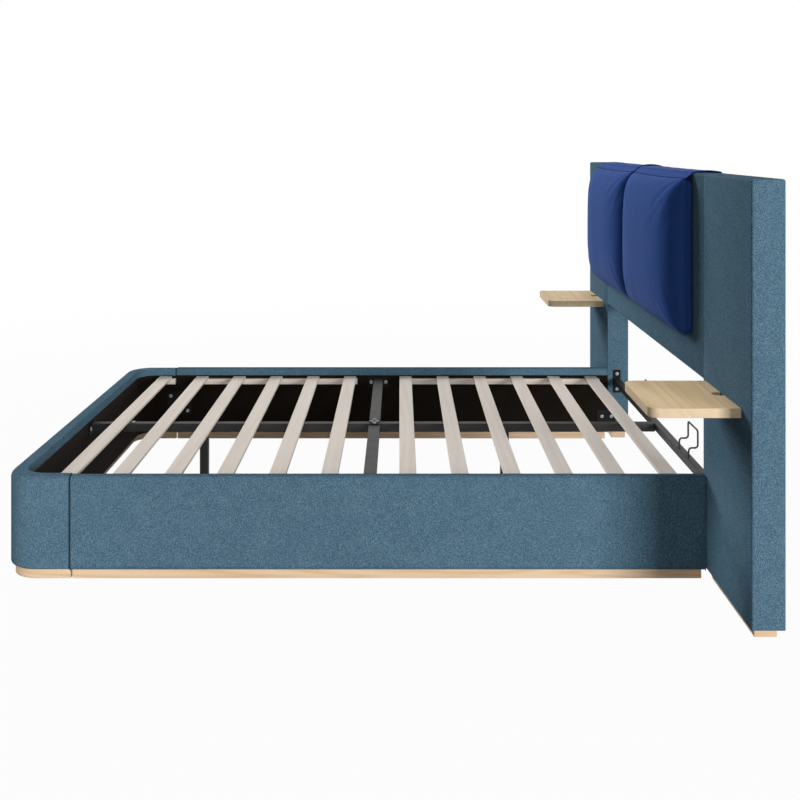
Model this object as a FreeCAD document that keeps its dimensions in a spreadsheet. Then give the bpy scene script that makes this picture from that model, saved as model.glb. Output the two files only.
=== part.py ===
"""Upholstered platform bed with a wide floating-shelf headboard.

Frame: +Z up, +Y from the foot towards the headboard, +X towards the right
side seen from the foot. The origin is on the floor, at the centre of the
overall box. All lengths are in millimetres.
"""
import FreeCAD, Part
import Sketcher
import math
import os
import re

doc = FreeCAD.newDocument("PlatformBed")
sheet = doc.addObject("Spreadsheet::Sheet", "Sizes")

# Driving sizes: alias, value, meaning
DRIVING_SIZES = [
    ("BedWidth", 1606, "over the two side rails"),
    ("RailTop", 308, "top of rails and foot section above the floor"),
    ("RailThickness", 35, "rail with its cover"),
    ("RailLength", 1891, "side rail, seam to headboard"),
    ("FootLength", 202, "foot section, outer face to seam"),
    ("FootThickness", 47, "end wall of the foot section with its cover"),
    ("CornerRadius", 100, "outer plan corner of the foot section"),
    ("InnerCorner", 72, "inner plan corner of the foot section"),
    ("FootRound", 20, "padded outer edges of the foot section"),
    ("CoverThickness", 4, "fabric with its thin foam backing"),
    ("InnerBand", 31, "depth of the fabric turned over inside the rails"),
    ("HemRound", 8, "rounded lower outer edge of foot section and rails"),
    ("CoverRound", 10, "rounded top edges of the rails"),
    ("PlinthHeight", 30, "wood plinth under rails and foot section"),
    ("PlinthInset", 13, "plinth set back from the rail's outer face"),
    ("PlinthThickness", 18, "plinth board"),
    ("PlinthJointGap", 5, "open joint between the plinths of foot section and rail"),
    ("PlinthHeadGap", 12, "rail plinth's end before the headboard"),
    ("LedgerTop", 265, "level that carries the slats"),
    ("LedgerHeight", 22, "ledger strip, upright side"),
    ("LedgerThickness", 22, "ledger strip, flat side"),
    ("LedgerGap", 185, "gap between the two ledgers of a rail"),
    ("LedgerFootGap", 80, "rail ledger's start beyond the seam"),
    ("LedgerHeadGap", 40, "rail ledger's end before the headboard"),
    ("SlatWidth", 53, "slat along the bed"),
    ("SlatThickness", 10, "slat height"),
    ("SlatEndGap", 5, "slat end to rail lining"),
    ("FootSlatPlace", 158.3, "first slat centre from the foot's outer face"),
    ("CrossSlatPlace", 123.7, "last slat centre of the foot group before the cross beam"),
    ("HeadSlatPlace", 118.5, "first slat centre of the head group from the cross beam"),
    ("EndSlatPlace", 78.5, "last slat centre before the headboard"),
    ("BeamSize", 30, "square tube of the centre beam and legs"),
    ("TubeWall", 2, "wall of every steel tube"),
    ("CrossWidth", 40, "cross beam tube along the bed"),
    ("CrossPlace", 19, "cross beam centre beyond the middle of the opening"),
    ("FootLegPlace", 260, "first centre leg from the seam"),
    ("HeadLegPlace", 1366, "second centre leg from the seam"),
    ("LegFlangeLength", 70, "welded plate on top of a leg"),
    ("GlideHeight", 6, "plastic glide under a leg"),
    ("GlideLip", 1.5, "glide proud of its leg"),
    ("GlidePlug", 18, "glide's plug inside the leg"),
    ("HeadBarSize", 25, "square tube between the wings"),
    ("HeadBarPlace", 27, "front of the head bar behind the headboard's front"),
    ("StubLength", 40, "bracket stub inside a tube"),
    ("FootStubLength", 180, "foot bracket stub inside the centre beam"),
    ("FitGap", 0.3, "clearance between parts that slide together"),
    ("PlateThickness", 4, "flat steel plates and brackets"),
    ("WingWidth", 457, "wing from the rail's inner face to its outer side"),
    ("HeadboardTop", 1204, "top of the headboard above the floor"),
    ("HeadboardThickness", 90, "headboard with its cover"),
    ("HeadRound", 7, "rounded outer edges of the headboard"),
    ("ArchTop", 588, "underside of the centre panel above the floor"),
    ("WingPlinthHeight", 35, "wood plinth under a wing"),
    ("WingSideInset", 42, "wing plinth set back from the outer side"),
    ("WingFrontInset", 20, "wing plinth set back from the front"),
    ("WingBackInset", 10, "wing plinth set back from the back"),
    ("RightShelfPlace", 24, "right shelf's inner end outside the rail's inner face"),
    ("LeftShelfPlace", 17, "left shelf's outer end in from the wing's outer side"),
    ("ShelfWidth", 348, "shelf along the headboard"),
    ("ShelfDepth", 246, "shelf out from the headboard"),
    ("ShelfThickness", 26, "shelf board"),
    ("ShelfTop", 590, "shelf's top above the floor"),
    ("ShelfCorner", 32, "front plan corners of the shelf"),
    ("NotchWidth", 40, "cable notch in the shelf's back edge"),
    ("NotchDepth", 29, "cable notch, out from the headboard"),
    ("RodRadius", 6, "concealed shelf rod"),
    ("RodReach", 120, "rod inside the shelf"),
    ("RodAnchor", 60, "rod inside the wing"),
    ("RodSpacing", 220, "between the two rods of a shelf"),
    ("CornerPlateLength", 110, "plate across the rail seam, along the bed"),
    ("CornerPlateHeight", 100, "plate across the rail seam, upright"),
    ("CornerPlateShift", 15, "plate centre beyond the seam, towards the head"),
    ("CornerPlateLevel", 157, "plate centre above the floor"),
    ("CornerHolePitch", 74, "bolts of the seam plate along the bed"),
    ("CornerHoleRise", 64, "bolts of the seam plate, upright"),
    ("HeadPlateLength", 83, "plate from rail to wing, along the bed"),
    ("HeadPlateHeight", 56, "plate from rail to wing, upright"),
    ("HeadPlateShift", 6, "plate centre before the headboard's front"),
    ("HeadPlateLevel", 100, "plate centre above the floor"),
    ("HeadHolePitch", 41, "bolts of the rail-to-wing plate"),
    ("CrossBracketLength", 88, "cross beam bracket along the rail"),
    ("CrossBracketHeight", 44, "cross beam bracket, upright"),
    ("CrossHolePitch", 62, "bolts of the cross beam bracket"),
    ("BarBracketWidth", 32, "head bar bracket across"),
    ("BarBracketHeight", 100, "head bar bracket, upright"),
    ("BarHoleRise", 66, "bolts of the head bar bracket"),
    ("FootBracketWidth", 90, "foot bracket across the bed"),
    ("FootBracketHeight", 44, "foot bracket, upright"),
    ("FootHolePitch", 66, "bolts of the foot bracket"),
    ("BeamBoltPlace", 2, "beam bolt before the seam"),
    ("JointPlateLength", 76, "plate on the beam crossing, across the bed"),
    ("JointPlateWidth", 38, "plate on the beam crossing, along the bed"),
    ("JointHolePitch", 50, "cross beam bolts of the crossing plate"),
    ("JointHoleRise", 20, "centre beam bolts of the crossing plate"),
    ("BoltRadius", 4, "bolt shank"),
    ("BoltLength", 22, "bolt shank under its head"),
    ("BoltHeadRadius", 8, "bolt head"),
    ("BoltHeadHeight", 5, "bolt head"),
    ("BoltHeadRound", 3, "domed edge of the bolt head"),
    ("SocketRadius", 3, "hexagon socket in the bolt head"),
    ("SocketDepth", 2.5, "hexagon socket in the bolt head"),
    ("StopWireRadius", 3, "bent wire of a mattress stop"),
    ("StopSpan", 122, "between the two feet of a stop"),
    ("StopRise", 29, "first upright of a stop"),
    ("StopStep", 30, "stop's step towards the wall"),
    ("StopHeight", 86, "stop above the head bar"),
    ("StopBend", 10, "bend of the wire on its centre line"),
    ("RightStopPlace", 385, "right stop from the bed's centre"),
    ("LeftStopPlace", 280, "left stop from the bed's centre"),
    ("CushionWidth", 765, "cushion along the headboard"),
    ("CushionHeight", 491, "cushion, upright"),
    ("CushionHang", 16, "cushion's upper edge below the headboard's top"),
    ("CushionEdge", 24, "boxed side, headboard to welt"),
    ("CushionCrown", 66, "crown in front of the welt"),
    ("CushionShoulder", 84, "width of the rounded shoulder round the crown"),
    ("CushionCorner", 30, "rounded corner of the cushion's outline"),
    ("CushionDraw", 5, "side drawn in between two corners"),
    ("CushionShift", 112, "the pair's middle, left of the bed's centre"),
    ("CushionSpacing", 6, "gap between the two cushions"),
    ("FlapThickness", 4.5, "flap that hangs the cushion on the headboard"),
    ("FlapSetback", 8, "flap narrower than the cushion at each end"),
    ("FlapDrop", 220, "flap's length down the headboard's back"),
]

SLATS_IN_GROUP = 6
# Cushion rings in front of the welt: share of the crown, share of the shoulder
CROWN_SHARES = ((0.4, 0.08), (0.7, 0.26), (0.88, 0.55), (0.96, 0.95), (1, 1.9))
# Corner of the notch as a share of its width, and added ring corner per inset
NOTCH_ROUND_SHARE = 0.45
RING_CORNER_SHARE = 0.22
QUARTER_TURN = 90
HEXAGON_SIDES = 6
SIDES = (("right", 1), ("left", -1))

for row, (alias, size, meaning) in enumerate(DRIVING_SIZES, start=1):
    sheet.set(f"A{row}", alias)
    sheet.set(f"B{row}", str(size))
    sheet.set(f"C{row}", meaning)
    sheet.setAlias(f"B{row}", alias)
doc.recompute()

# Places along the bed, worked out from the sheet
LENGTH = "(FootLength + RailLength + HeadboardThickness + FitGap + FlapThickness)"
FOOT = f"(-{LENGTH} / 2)"
SEAM = f"({FOOT} + FootLength)"
HEAD = f"({SEAM} + RailLength)"
BACK = f"({HEAD} + HeadboardThickness)"
# Inner face of rails and wings, and the faces where steel plates lie
INNER = "(BedWidth / 2 - RailThickness)"
OUTER = "(BedWidth / 2)"
PLATE_FACE = f"({INNER} - PlateThickness)"
FOOT_INNER = f"({FOOT} + FootThickness)"
CROSS = f"(({FOOT_INNER} + {HEAD}) / 2 + CrossPlace)"
FOOT_PLATE_FACE = f"({FOOT_INNER} + PlateThickness)"
BAR_FRONT = f"({HEAD} + HeadBarPlace)"
BAR_MIDDLE = f"({BAR_FRONT} + HeadBarSize / 2)"
BEAM_LOW = "(LedgerTop - BeamSize)"
BEAM_MIDDLE = "(LedgerTop - BeamSize / 2)"
WING_SIDE = f"({INNER} + WingWidth)"
SHELF_PLACES = {
    "right": f"({INNER} + RightShelfPlace)",
    "left": f"({WING_SIDE} - LeftShelfPlace - ShelfWidth)",
}
CUSHION_TOP = "(HeadboardTop - CushionHang)"
CUSHION_MIDDLE = f"({CUSHION_TOP} - CushionHeight / 2)"
COVER = "CoverThickness"
# How far a cutting solid runs past the face that it opens
OVERRUN = "CoverThickness"

pieces = {}


def formula(words):
    """The words with each size name pointed at its cell."""
    return re.sub(r"\b([A-Z][A-Za-z]+)\b", r"Sizes.\1", words)


def number(words):
    """The value that a formula has now."""
    return float(sheet.evalExpression(formula(words)))


def keep(name, made):
    """Name a finished sub-part and list it for writing."""
    made.Label = name
    pieces[name] = made
    return made


def block(name, across, along, upright):
    """A box between a low and a high formula on each axis."""
    made = doc.addObject("Part::Box", name)
    axes = zip(("Length", "Width", "Height"), "xyz", (across, along, upright))
    for side, axis, (low, high) in axes:
        made.setExpression(side, formula(f"({high}) - ({low})"))
        made.setExpression(f"Placement.Base.{axis}", formula(low))
    return made


def on_side(sign, low, high):
    """A pair of places across the bed, mirrored for the left side."""
    if sign > 0:
        return low, high
    return f"-({high})", f"-({low})"


def about(middle, whole):
    """A pair of places half a size to each side of a middle."""
    return f"({middle}) - ({whole}) / 2", f"({middle}) + ({whole}) / 2"


def cut(name, base, *tools):
    """The base less each tool in turn."""
    for index, tool in enumerate(tools):
        made = doc.addObject("Part::Cut", f"{name}_cut_{index}")
        made.Base = base
        made.Tool = tool
        base = made
    return base


def join(name, *parts):
    """One solid from parts that meet."""
    made = doc.addObject("Part::MultiFuse", f"{name}_joined")
    made.Shapes = list(parts)
    made.Refine = True
    return made


def group(name, *solids):
    """Separate solids in one node."""
    made = doc.addObject("Part::Compound", f"{name}_group")
    made.Links = list(solids)
    return made


def rounded(name, base, radius, chosen):
    """The base with a fillet on each edge that is chosen."""
    doc.recompute()
    made = doc.addObject("Part::Fillet", f"{name}_rounded")
    made.Base = base
    size = number(radius)
    edges = enumerate(base.Shape.Edges, start=1)
    made.Edges = [(index, size, size) for index, edge in edges if chosen(edge)]
    return made


def runs(edge, axis):
    """Whether an edge is straight along an axis."""
    ends = edge.Vertexes[-1].Point - edge.Vertexes[0].Point
    across = [abs(part) for place, part in enumerate(ends) if "xyz"[place] != axis]
    return isinstance(edge.Curve, Part.Line) and max(across) < Part.Precision.confusion()


def at_level(edge, axis, words):
    """Whether an edge's middle lies at a place on an axis."""
    place = getattr(edge.CenterOfMass, axis)
    return abs(place - number(words)) < number("FitGap")


def outer_rim(edge, inset, level):
    """Whether an edge is on the foot section's outer rim at a level."""
    side, end, bend = [number(words) for words in outer_line(inset)]
    place = edge.CenterOfMass
    if isinstance(edge.Curve, Part.Circle):
        on_line = abs(edge.Curve.Radius - bend) < number("FitGap")
    else:
        on_line = min(abs(abs(place.x) - side), abs(place.y - end)) < number("FitGap")
    return on_line and at_level(edge, "z", level)


def corner_ends(corners, index):
    """The outline's points at one corner: itself, or both ends of its round."""
    across, along, radius = corners[index]
    if not radius:
        return [(across, along)]
    here = FreeCAD.Vector(number(across), number(along), 0)
    ends = []
    for near in (corners[index - 1], corners[(index + 1) % len(corners)]):
        way = (FreeCAD.Vector(number(near[0]), number(near[1]), 0) - here).normalize()
        ends.append((f"({across}) + ({round(way.x)}) * ({radius})",
                     f"({along}) + ({round(way.y)}) * ({radius})"))
    return ends


def corner_arc(first, last, square):
    """The quarter round between two points beside a square corner."""
    centre = first + last - square
    angles = [math.atan2((end - centre).y, (end - centre).x) for end in (first, last)]
    if (angles[-1] - angles[0]) % math.tau > math.pi:
        angles.reverse()
    circle = Part.Circle(centre, FreeCAD.Vector(0, 0, 1), (first - centre).Length)
    return Part.ArcOfCircle(circle, *angles)


def draw_outline(sketch, corners):
    """A closed outline of square corners, some rounded, bound to the sheet."""
    ends = [corner_ends(corners, index) for index in range(len(corners))]
    spots = [[FreeCAD.Vector(number(x), number(y), 0) for x, y in pair] for pair in ends]
    path = []
    for index, (across, along, radius) in enumerate(corners):
        if radius:
            square = FreeCAD.Vector(number(across), number(along), 0)
            path.append((corner_arc(*spots[index], square), spots[index][0], ends[index][0], radius))
        following = spots[(index + 1) % len(corners)][0]
        straight = Part.LineSegment(spots[index][-1], following)
        path.append((straight, spots[index][-1], ends[index][-1], None))
    geometry = [sketch.addGeometry(step[0], False) for step in path]
    # Which end of each curve opens its step of the path, as the sketch counts ends
    opens = [1 if (step[0].StartPoint - step[1]).Length < number("FitGap") else 2 for step in path]
    for place, (curve, spot, words, radius) in enumerate(path):
        own = geometry[place]
        before = geometry[place - 1]
        closes = 3 - opens[place - 1]
        sketch.addConstraint(Sketcher.Constraint("Coincident", before, closes, own, opens[place]))
        bound = [("DistanceX", words[0], "across"), ("DistanceY", words[1], "along")]
        for kind, size, word in bound:
            here = sketch.addConstraint(Sketcher.Constraint(kind, -1, 1, own, opens[place], number(size)))
            sketch.renameConstraint(here, f"{word}_{place}")
            sketch.setExpression(f"Constraints.{word}_{place}", formula(size))
        if radius:
            here = sketch.addConstraint(Sketcher.Constraint("Radius", own, number(radius)))
            sketch.renameConstraint(here, f"round_{place}")
            sketch.setExpression(f"Constraints.round_{place}", formula(radius))


def plan_body(name, corners, low, high):
    """A body padded upwards from an outline seen from above."""
    body = doc.addObject("PartDesign::Body", f"{name}_body")
    plane = [part for part in body.Origin.OriginFeatures if part.Role == "XY_Plane"][0]
    sketch = body.newObject("Sketcher::SketchObject", f"{name}_plan")
    sketch.AttachmentSupport = [(plane, "")]
    sketch.MapMode = "FlatFace"
    draw_outline(sketch, corners)
    pad = body.newObject("PartDesign::Pad", f"{name}_pad")
    pad.Profile = sketch
    pad.setExpression("Length", formula(f"({high}) - ({low})"))
    body.setExpression("Placement.Base.z", formula(low))
    return body


def outer_line(inset):
    """The foot section's side, end and bend, set in from its outer face."""
    return f"({OUTER} - ({inset}))", f"({FOOT} + {inset})", f"(CornerRadius - ({inset}))"


def inner_line(depth):
    """The foot section's side, end and bend, behind its inner face."""
    return f"({INNER} + {depth})", f"({FOOT_INNER} - ({depth}))", f"(InnerCorner + {depth})"


def foot_band(name, outside, inside, low, high):
    """A U-shaped wall of the foot section between two lines."""
    corners = []
    for (side, end, bend), signs in ((outside, (1, -1)), (inside, (-1, 1))):
        first, second = signs
        corners.append((f"{first} * {side}", SEAM, None))
        corners.append((f"{first} * {side}", end, bend))
        corners.append((f"{second} * {side}", end, bend))
        corners.append((f"{second} * {side}", SEAM, None))
    return plan_body(name, corners, low, high)


def tube(name, across, along, upright, hollow_axis, wall="TubeWall"):
    """A rectangular tube, open at both ends of its hollow axis."""
    inside = []
    for axis, (low, high) in zip("xyz", (across, along, upright)):
        step = OVERRUN if axis == hollow_axis else f"-({wall})"
        inside.append((f"({low}) - ({step})", f"({high}) + ({step})"))
    shell = block(f"{name}_outside", across, along, upright)
    return cut(name, shell, block(f"{name}_inside", *inside))


def bent_wire(points, bend, radius):
    """A round wire along runs between points, each corner a quarter turn."""
    spots = [FreeCAD.Vector(*point) for point in points]
    edges = []
    start = spots[0]
    for here, following in zip(spots[1:], spots[2:]):
        arrive = (here - start).normalize()
        leave = (following - here).normalize()
        first = here - arrive * bend
        last = here + leave * bend
        centre = first + leave * bend
        middle = centre + (arrive - leave).normalize() * bend
        edges.append(Part.LineSegment(start, first).toShape())
        edges.append(Part.Arc(first, middle, last).toShape())
        start = last
    edges.append(Part.LineSegment(start, spots[-1]).toShape())
    way = (spots[1] - spots[0]).normalize()
    section = Part.Wire([Part.makeCircle(radius, spots[0], way)])
    return Part.Wire(edges).makePipeShell([section], True, False)


def ring(middle, half_width, half_height, corner, draw):
    """A cushion's outline at one depth: drawn-in sides and rounded corners."""
    outwards = [FreeCAD.Vector(0, 0, 1), FreeCAD.Vector(-1, 0, 0)]
    outwards += [-way for way in outwards]
    halves = [half_height, half_width] * 2
    edges = []
    for place, way in enumerate(outwards):
        after = (place + 1) % len(outwards)
        along = outwards[after]
        reach = halves[after] - corner
        first = middle + way * halves[place] - along * reach
        last = middle + way * halves[place] + along * reach
        edges.append(Part.Arc(first, middle + way * (halves[place] - draw), last).toShape())
        centre = last - way * corner
        turned = centre + along * corner
        edges.append(Part.Arc(last, centre + (way + along).normalize() * corner, turned).toShape())
    return Part.Wire(edges)


# Bolts: one master, placed wherever a plate is bolted down
head_disc = doc.addObject("Part::Cylinder", "bolt_head_disc")
head_disc.setExpression("Radius", formula("BoltHeadRadius"))
head_disc.setExpression("Height", formula("BoltHeadHeight"))
head_dome = rounded("bolt_head", head_disc, "BoltHeadRound",
                    lambda edge: at_level(edge, "z", "BoltHeadHeight") and edge.Closed)
socket = doc.addObject("Part::Prism", "bolt_socket")
socket.Polygon = HEXAGON_SIDES
socket.setExpression("Circumradius", formula("SocketRadius"))
socket.setExpression("Height", formula("SocketDepth + BoltHeadHeight"))
socket.setExpression("Placement.Base.z", formula("BoltHeadHeight - SocketDepth"))
shank = doc.addObject("Part::Cylinder", "bolt_shank")
shank.setExpression("Radius", formula("BoltRadius"))
shank.setExpression("Height", formula("BoltLength"))
shank.setExpression("Placement.Base.z", formula("-BoltLength"))
bolt = join("bolt", cut("bolt_socket", head_dome, socket), shank)
bore = doc.addObject("Part::Cylinder", "bolt_bore")
bore.setExpression("Radius", formula("BoltRadius + FitGap"))
bore.setExpression("Height", formula(f"BoltLength + FitGap + {OVERRUN}"))
bore.setExpression("Placement.Base.z", formula("-(BoltLength + FitGap)"))
doc.recompute()

# Where each bolt head sits and which way it faces
bolt_places = []
for word, sign in SIDES:
    inward = FreeCAD.Vector(-sign, 0, 0)
    face = f"{sign} * {PLATE_FACE}"
    patterns = [
        (f"({SEAM} + CornerPlateShift)", "CornerHolePitch", "CornerPlateLevel", "CornerHoleRise"),
        (f"({HEAD} - HeadPlateShift)", "HeadHolePitch", "HeadPlateLevel", None),
        (CROSS, "CrossHolePitch", BEAM_MIDDLE, None),
        (BAR_MIDDLE, None, "(LedgerTop - HeadBarSize / 2)", "BarHoleRise"),
    ]
    for along, pitch, level, rise in patterns:
        rows = about(along, pitch) if pitch else (along,)
        heights = about(level, rise) if rise else (level,)
        bolt_places += [(face, row, height, inward) for row in rows for height in heights]
for across in about("0", "FootHolePitch"):
    bolt_places.append((across, FOOT_PLATE_FACE, BEAM_MIDDLE, FreeCAD.Vector(0, 1, 0)))
upwards = FreeCAD.Vector(0, 0, 1)
bolt_places.append(("0", f"{SEAM} - BeamBoltPlace", "LedgerTop", upwards))
for across in about("0", "JointHolePitch"):
    bolt_places.append((across, CROSS, "LedgerTop + PlateThickness", upwards))
for along in about(CROSS, "JointHoleRise"):
    bolt_places.append(("0", along, "LedgerTop + PlateThickness", upwards))


def at_bolts(name, master):
    """A copy of the master at every bolt place, as one object."""
    copies = []
    for across, along, level, outward in bolt_places:
        copy = master.Shape.copy()
        spot = FreeCAD.Vector(number(across), number(along), number(level))
        turned = FreeCAD.Placement(spot, FreeCAD.Rotation(upwards, outward))
        copy.Placement = turned.multiply(copy.Placement)
        copies.append(copy)
    made = doc.addObject("Part::Feature", name)
    made.Shape = Part.makeCompound(copies)
    return made


keep("frame_bolts", at_bolts("bolts", bolt))
bores = at_bolts("bolt_bores", bore)

# Concealed rods that carry the shelves, and their holes
rods = []
rod_holes = []
for word, sign in SIDES:
    middle = f"{sign} * ({SHELF_PLACES[word]} + ShelfWidth / 2)"
    for place, across in enumerate(about(middle, "RodSpacing")):
        for made_list, extra, kind in ((rods, "0", "rod"), (rod_holes, "FitGap", "hole")):
            made = doc.addObject("Part::Cylinder", f"{word}_shelf_{kind}_{place}")
            made.Placement.Rotation = FreeCAD.Rotation(FreeCAD.Vector(1, 0, 0), -QUARTER_TURN)
            made.setExpression("Radius", formula(f"RodRadius + {extra}"))
            made.setExpression("Height", formula(f"RodReach + RodAnchor + 2 * {extra}"))
            made.setExpression("Placement.Base.x", formula(across))
            made.setExpression("Placement.Base.y", formula(f"{HEAD} - RodReach - {extra}"))
            made.setExpression("Placement.Base.z", formula("ShelfTop - ShelfThickness / 2"))
            made_list.append(made)
keep("shelf_rods", group("shelf_rods", *rods))
rod_bores = group("rod_bores", *rod_holes)

# Foot section: bent core, wrapped cover, inner lining and plinth
core_lines = (outer_line(COVER), inner_line(COVER))
lining_lines = (inner_line(COVER), inner_line("0"))
foot_core = foot_band("foot_core", *core_lines, "PlinthHeight", f"RailTop - {COVER}")
foot_core = rounded("foot_core", foot_core, f"FootRound - {COVER}",
                    lambda edge: outer_rim(edge, COVER, f"RailTop - {COVER}"))
foot_core = rounded("foot_core_hem", foot_core, "HemRound",
                    lambda edge: outer_rim(edge, COVER, "PlinthHeight"))
keep("foot_core", cut("foot_core", foot_core, bores))
foot_skin = foot_band("foot_skin", outer_line("0"), inner_line("0"), "PlinthHeight", "RailTop")
foot_skin = rounded("foot_skin", foot_skin, "FootRound", lambda edge: outer_rim(edge, "0", "RailTop"))
foot_skin = rounded("foot_skin_hem", foot_skin, "HemRound",
                    lambda edge: outer_rim(edge, "0", "PlinthHeight"))
foot_below = foot_band("foot_below", inner_line(COVER), inner_line(f"-{OVERRUN}"),
                       f"PlinthHeight - {OVERRUN}", "RailTop - InnerBand")
keep("foot_cover", cut("foot_cover", foot_skin, foot_core, foot_below))
foot_lining = foot_band("foot_lining", *lining_lines, "PlinthHeight", "RailTop - InnerBand")
keep("foot_lining", cut("foot_lining", foot_lining, bores))
keep("foot_plinth", foot_band("foot_plinth", outer_line("PlinthInset"),
                              outer_line("PlinthInset + PlinthThickness"), "0", "PlinthHeight"))

# Side rails
for word, sign in SIDES:
    rail = (SEAM, HEAD)
    core_across = on_side(sign, f"{INNER} + {COVER}", f"{OUTER} - {COVER}")
    core = block(f"{word}_rail_core", core_across, rail, ("PlinthHeight", f"RailTop - {COVER}"))
    core_side = f"{sign} * ({OUTER} - {COVER})"
    core = rounded(f"{word}_rail_core", core, "HemRound",
                   lambda edge: at_level(edge, "z", "PlinthHeight") and
                   at_level(edge, "x", core_side) and runs(edge, "y"))
    keep(f"{word}_rail_core", cut(f"{word}_rail_core", core, bores))
    skin = block(f"{word}_rail_skin", on_side(sign, INNER, OUTER), rail, ("PlinthHeight", "RailTop"))
    skin = rounded(f"{word}_rail_skin", skin, "CoverRound",
                   lambda edge: at_level(edge, "z", "RailTop") and runs(edge, "y"))
    skin_side = f"{sign} * {OUTER}"
    skin = rounded(f"{word}_rail_skin_hem", skin, "HemRound",
                   lambda edge: at_level(edge, "z", "PlinthHeight") and
                   at_level(edge, "x", skin_side) and runs(edge, "y"))
    longer = (f"{SEAM} - {OVERRUN}", f"{HEAD} + {OVERRUN}")
    below_across = on_side(sign, f"{INNER} - {OVERRUN}", f"{INNER} + {COVER}")
    below = block(f"{word}_rail_below", below_across, longer,
                  (f"PlinthHeight - {OVERRUN}", "RailTop - InnerBand"))
    keep(f"{word}_rail_cover", cut(f"{word}_rail_cover", skin, core, below))
    lining = block(f"{word}_rail_lining", on_side(sign, INNER, f"{INNER} + {COVER}"), rail,
                   ("PlinthHeight", "RailTop - InnerBand"))
    keep(f"{word}_rail_lining", cut(f"{word}_rail_lining", lining, bores))
    plinth_across = on_side(sign, f"{OUTER} - PlinthInset - PlinthThickness", f"{OUTER} - PlinthInset")
    keep(f"{word}_rail_plinth", block(f"{word}_rail_plinth", plinth_across,
                                      (f"{SEAM} + PlinthJointGap", f"{HEAD} - PlinthHeadGap"),
                                      ("0", "PlinthHeight")))

# Ledger strips that carry the slats
foot_ledgers = []
for word, sign in SIDES:
    across = on_side(sign, f"{INNER} - LedgerThickness", INNER)
    upright = ("LedgerTop - LedgerHeight", "LedgerTop")
    stretches = {
        "foot": (f"{SEAM} + LedgerFootGap", f"{CROSS} - LedgerGap / 2"),
        "head": (f"{CROSS} + LedgerGap / 2", f"{HEAD} - LedgerHeadGap"),
    }
    for end, along in stretches.items():
        keep(f"{word}_ledger_{end}", block(f"{word}_ledger_{end}", across, along, upright))
    foot_ledgers.append(block(f"{word}_ledger_corner", across,
                              (f"{FOOT_INNER} + InnerCorner", SEAM), upright))
keep("foot_ledgers", group("foot_ledgers", *foot_ledgers))

# Slats in two groups, either side of the cross beam
slat_across = (f"-({INNER} - SlatEndGap)", f"{INNER} - SlatEndGap")
slat_upright = ("LedgerTop", "LedgerTop + SlatThickness")
groups = (
    (f"({FOOT} + FootSlatPlace)", f"({CROSS} - CrossSlatPlace)"),
    (f"({CROSS} + HeadSlatPlace)", f"({HEAD} - EndSlatPlace)"),
)
middles = [f"({first} + {place} * ({last} - {first}) / {SLATS_IN_GROUP - 1})"
           for first, last in groups for place in range(SLATS_IN_GROUP)]
for count, middle in enumerate(middles, start=1):
    slat_along = about(middle, "SlatWidth")
    keep(f"slat_{count:02d}", block(f"slat_{count:02d}", slat_across, slat_along, slat_upright))

# Centre beam in two lengths, and the cross beam in two halves
beam_across = about("0", "BeamSize")
beam_upright = (BEAM_LOW, "LedgerTop")
for name, along in (("centre_beam_foot", (FOOT_PLATE_FACE, CROSS)), ("centre_beam_head", (CROSS, BAR_FRONT))):
    keep(name, cut(name, tube(name, beam_across, along, beam_upright, "y"), bores))
for word, sign in SIDES:
    across = on_side(sign, "BeamSize / 2", PLATE_FACE)
    half = tube(f"cross_beam_{word}", across, about(CROSS, "CrossWidth"), beam_upright, "x")
    keep(f"cross_beam_{word}", cut(f"cross_beam_{word}_drilled", half, bores))
joint_plate = block("beam_joint_plate", about("0", "JointPlateLength"), about(CROSS, "JointPlateWidth"),
                    ("LedgerTop", "LedgerTop + PlateThickness"))
keep("beam_joint_plate", cut("beam_joint_plate", joint_plate, bores))

# Head bar between the wings
bar_along = (BAR_FRONT, f"{BAR_FRONT} + HeadBarSize")
bar_upright = ("LedgerTop - HeadBarSize", "LedgerTop")
keep("head_bar", tube("head_bar", (f"-{PLATE_FACE}", PLATE_FACE), bar_along, bar_upright, "x"))


def stub_inside(name, across, along, upright, hollow_axis):
    """A short tube that fits inside a frame tube with the fit gap."""
    narrower = []
    for axis, (low, high) in zip("xyz", (across, along, upright)):
        step = "0" if axis == hollow_axis else "(TubeWall + FitGap)"
        narrower.append((f"({low}) + {step}", f"({high}) - {step}"))
    return tube(name, *narrower, hollow_axis)


# Brackets: a bolted plate with a welded stub inside the tube that it holds
cross_brackets = []
bar_brackets = []
for word, sign in SIDES:
    plate_across = on_side(sign, PLATE_FACE, INNER)
    stub_across = on_side(sign, f"{PLATE_FACE} - StubLength", PLATE_FACE)
    plate = block(f"cross_plate_{word}", plate_across, about(CROSS, "CrossBracketLength"),
                  about(BEAM_MIDDLE, "CrossBracketHeight"))
    stub = stub_inside(f"cross_stub_{word}", stub_across, about(CROSS, "CrossWidth"), beam_upright, "x")
    cross_brackets.append(cut(f"cross_bracket_{word}", join(f"cross_bracket_{word}", plate, stub), bores))
    plate = block(f"bar_plate_{word}", plate_across, about(BAR_MIDDLE, "BarBracketWidth"),
                  about("LedgerTop - HeadBarSize / 2", "BarBracketHeight"))
    stub = stub_inside(f"bar_stub_{word}", stub_across, bar_along, bar_upright, "x")
    bar_brackets.append(cut(f"bar_bracket_{word}", join(f"bar_bracket_{word}", plate, stub), bores))
keep("cross_beam_brackets", group("cross_beam_brackets", *cross_brackets))
keep("head_bar_brackets", group("head_bar_brackets", *bar_brackets))
foot_plate = block("foot_plate", about("0", "FootBracketWidth"), (FOOT_INNER, FOOT_PLATE_FACE),
                   about(BEAM_MIDDLE, "FootBracketHeight"))
foot_stub = stub_inside("foot_stub", beam_across, (FOOT_PLATE_FACE, f"{FOOT_PLATE_FACE} + FootStubLength"),
                        beam_upright, "y")
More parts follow.
